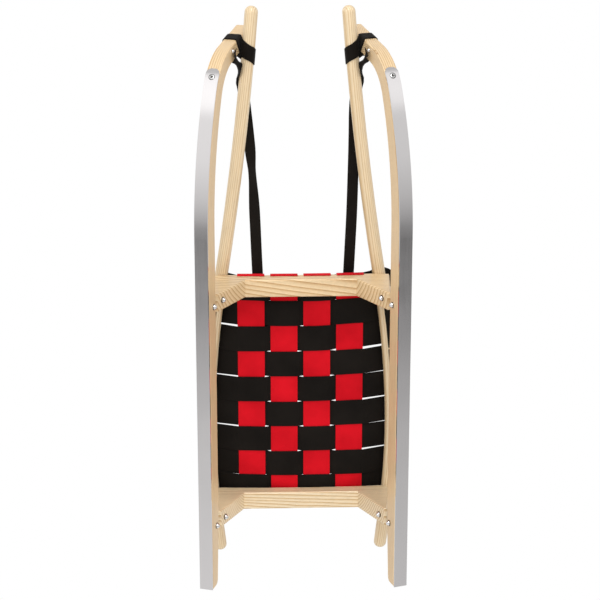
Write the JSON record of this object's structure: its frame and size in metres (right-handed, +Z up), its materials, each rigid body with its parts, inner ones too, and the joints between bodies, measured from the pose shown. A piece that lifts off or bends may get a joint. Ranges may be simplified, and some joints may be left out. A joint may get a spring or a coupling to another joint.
{
  "type": "two-seat touring sled",
  "caption": "Wooden touring sled with bent ash runners, arched bridges, round seat rails and a woven webbing seat, with a pull strap laid over the seat.",
  "frame": {"origin": "on the floor under the middle of the sled's length and width", "axes": "+Z up, +X across to the right when seen with the horns pointing up the page from below, -Y towards the horns at the front"},
  "size_m": [0.4504, 1.24, 0.2964],
  "materials": {
    "ash_wood": "clear satin varnish on pale ash",
    "runner_steel": "bright rolled steel",
    "plate_steel": "zinc plated",
    "black_webbing": "ribbed polyester webbing",
    "red_webbing": "ribbed polyester webbing"
  },
  "bodies": {
    "root": {"runner_left": "ash_wood", "runner_right": "ash_wood", "seat_rail_left": "ash_wood", "seat_rail_right": "ash_wood", "bridge_front": "ash_wood", "bridge_rear": "ash_wood", "band_left": "runner_steel", "band_right": "runner_steel", "plate_front_left": "plate_steel", "plate_front_right": "plate_steel", "plate_rear_left": "plate_steel", "plate_rear_right": "plate_steel", "cross_belt_1": "black_webbing", "cross_belt_2": "black_webbing", "cross_belt_3": "black_webbing", "cross_belt_4": "black_webbing", "cross_belt_5": "black_webbing", "cross_belt_6": "black_webbing", "cross_belt_7": "black_webbing", "cross_belt_8": "black_webbing", "cross_belt_9": "black_webbing", "horn_tie_left": "black_webbing", "horn_tie_right": "black_webbing", "pull_strap": "black_webbing", "red_belt_1": "red_webbing", "red_belt_2": "red_webbing", "red_belt_3": "red_webbing", "red_belt_4": "red_webbing"}
  },
  "joints": []
}
